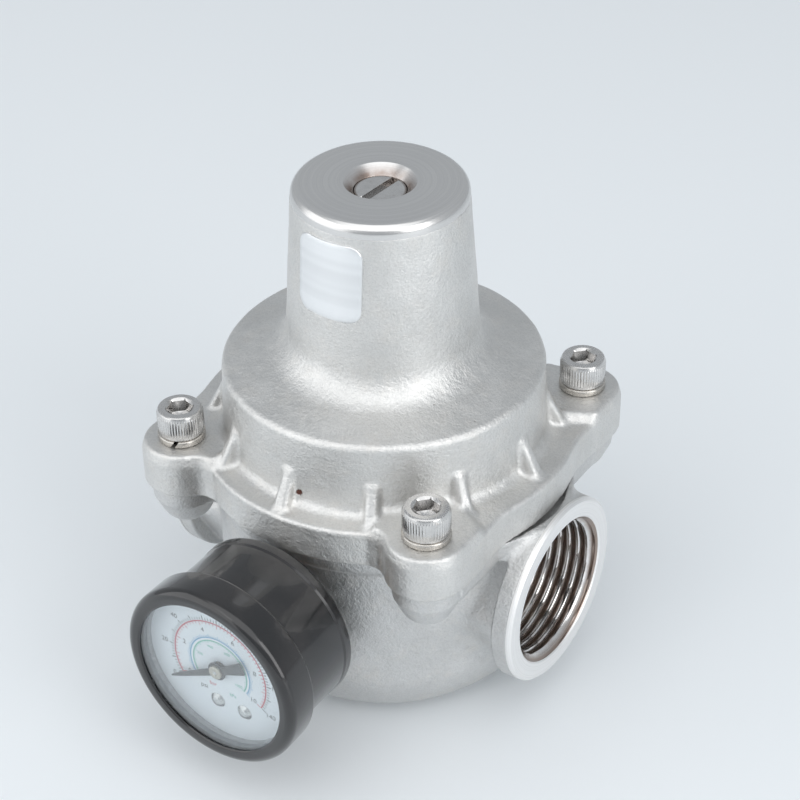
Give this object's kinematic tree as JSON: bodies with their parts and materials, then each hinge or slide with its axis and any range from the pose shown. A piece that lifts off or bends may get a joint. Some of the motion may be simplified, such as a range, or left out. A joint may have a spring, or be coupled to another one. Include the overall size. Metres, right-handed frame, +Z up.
{
  "type": "pressure reducing valve",
  "caption": "Direct-acting diaphragm pressure reducing valve with threaded ports, a bolted spring bonnet, a slotted adjusting screw and a dial gauge on the outlet side.",
  "frame": {"origin": "centre of the flat face under the valve body, on the stem axis", "axes": "+Z up along the stem towards the adjusting screw, +X towards the outlet port, -X towards the inlet port, -Y towards the gauge"},
  "size_m": [0.09, 0.106, 0.117],
  "materials": {
    "cast_stainless": "bead-blasted investment casting, satin",
    "machined_stainless": "turned, bright",
    "screw_steel": "plain stainless, bright",
    "spring_steel": "drawn wire",
    "brass": "turned",
    "copper_seal": "annealed, matt",
    "black_rubber": "matt",
    "grey_gasket": "matt",
    "black_paint": "semi-gloss black",
    "clear_lens": "clear",
    "white_dial": "white with printed scales",
    "pointer_black": "matt black"
  },
  "bodies": {
    "valve": {"valve_body": "cast_stainless", "bonnet": "cast_stainless", "cap_screws": "screw_steel", "spring_washers": "screw_steel", "diaphragm": "black_rubber", "seat_ring": "machined_stainless", "seat_o_ring": "black_rubber", "stem_guide_bush": "brass", "return_spring": "spring_steel", "main_spring": "spring_steel", "gauge_socket": "brass", "gauge_seal_washer": "copper_seal", "gauge_case": "black_paint", "gauge_bezel": "black_paint", "gauge_lens": "clear_lens", "lens_gasket": "grey_gasket", "gauge_dial": "white_dial", "dial_screws": "screw_steel", "bourdon_tube": "brass", "bourdon_tip": "brass", "movement_back_plate": "brass", "movement_front_plate": "brass", "movement_pillars": "brass", "hairspring": "spring_steel"},
    "stem_set": {"stem": "machined_stainless", "disc_holder": "machined_stainless", "disc_seal": "black_rubber", "disc_nut": "screw_steel", "lower_diaphragm_plate": "machined_stainless", "upper_diaphragm_plate": "machined_stainless", "stem_nut": "screw_steel"},
    "spring_plate": {"spring_plate": "machined_stainless"},
    "adjusting_screw": {"adjusting_screw": "screw_steel"},
    "pointer_set": {"pointer": "pointer_black", "pointer_hub": "brass", "pinion_arbor": "machined_stainless"},
    "sector": {"sector_gear": "brass"},
    "link": {"sector_link": "brass"}
  },
  "joints": [
    {"name": "stem_lift", "type": "slide", "parent": "valve", "child": "stem_set", "axis": [0, 0, 1], "range_m": [0, 0.004], "stiffness_N_per_m": 4000, "springref_m": -0.005, "deforming": ["diaphragm", "return_spring", "main_spring"]},
    {"name": "adjust_slide", "type": "slide", "parent": "valve", "child": "spring_plate", "axis": [0, 0, -1], "range_m": [0, 0.006], "deforming": ["main_spring"]},
    {"name": "adjust_turn", "type": "hinge", "parent": "spring_plate", "child": "adjusting_screw", "pos_m": [0, 0, 0.11], "axis": [0, 0, -1], "range_deg": [0, 1442]},
    {"name": "pointer_turn", "type": "hinge", "parent": "valve", "child": "pointer_set", "pos_m": [0, -0.0575, 0.032], "axis": [0, 1, 0], "range_deg": [0, 240], "stiffness_Nm_per_rad": 0.0002, "springref_deg": -17.19},
    {"name": "sector_turn", "type": "hinge", "parent": "valve", "child": "sector", "pos_m": [0, -0.0545, 0.02356], "axis": [0, 1, 0], "range_deg": [-41, 1]},
    {"name": "link_turn", "type": "hinge", "parent": "sector", "child": "link", "pos_m": [-0.00116, -0.0538, 0.02037], "axis": [0, 1, 0], "range_deg": [-1, 41]}
  ],
  "couplings": [
    {"joint": "adjust_turn", "follows": "adjust_slide", "rad_per_m": 4188.8},
    {"joint": "sector_turn", "follows": "pointer_turn", "ratio": -0.16667},
    {"joint": "link_turn", "follows": "pointer_turn", "ratio": 0.16667}
  ]
}
